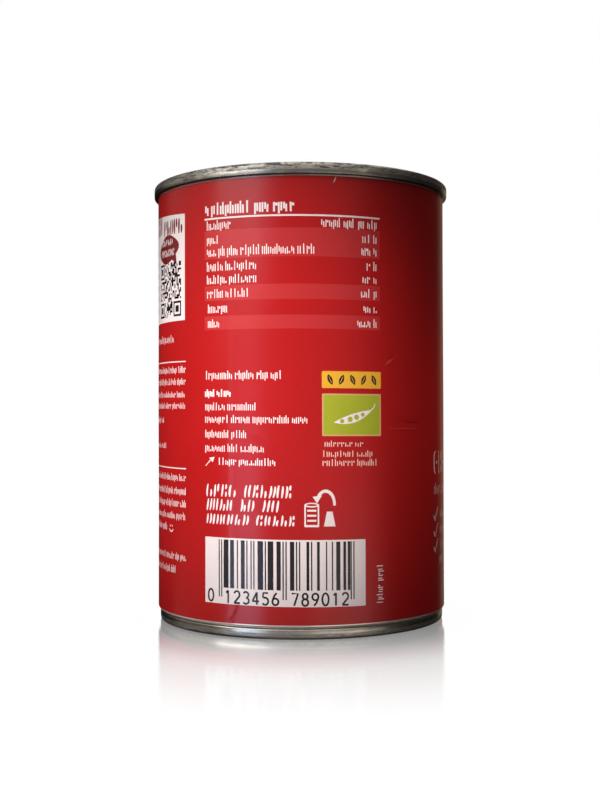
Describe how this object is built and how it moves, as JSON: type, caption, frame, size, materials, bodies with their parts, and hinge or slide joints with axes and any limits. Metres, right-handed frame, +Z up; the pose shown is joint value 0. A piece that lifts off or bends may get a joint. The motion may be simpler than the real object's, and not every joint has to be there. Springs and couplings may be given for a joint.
{
  "type": "can of beans in tomato sauce",
  "caption": "Shut cylindrical food can of beans in tomato sauce, with double-seamed ends, a necked-in base that nests in another can's rim, and a wrapped paper label.",
  "frame": {"origin": "middle of the circle that the lower seam rests on, on the surface under the can", "axes": "+Z up along the can's axis; the nutrition panel side of the label faces -Y; +X is to the right of someone reading that side"},
  "size_m": [0.0752, 0.0752, 0.1095],
  "materials": {
    "tinplate_body": "bright rolled tinplate, lightly brushed round the can",
    "tinplate_end": "satin tinplate with scuffs along the upper edge of the seam",
    "label_paper": "satin varnished paper, printed bright red with pale blocks, bands, a barcode-like field and small marks"
  },
  "bodies": {
    "root": {"can_body": "tinplate_body", "top_end": "tinplate_end", "bottom_end": "tinplate_end", "paper_label": "label_paper"}
  },
  "joints": []
}
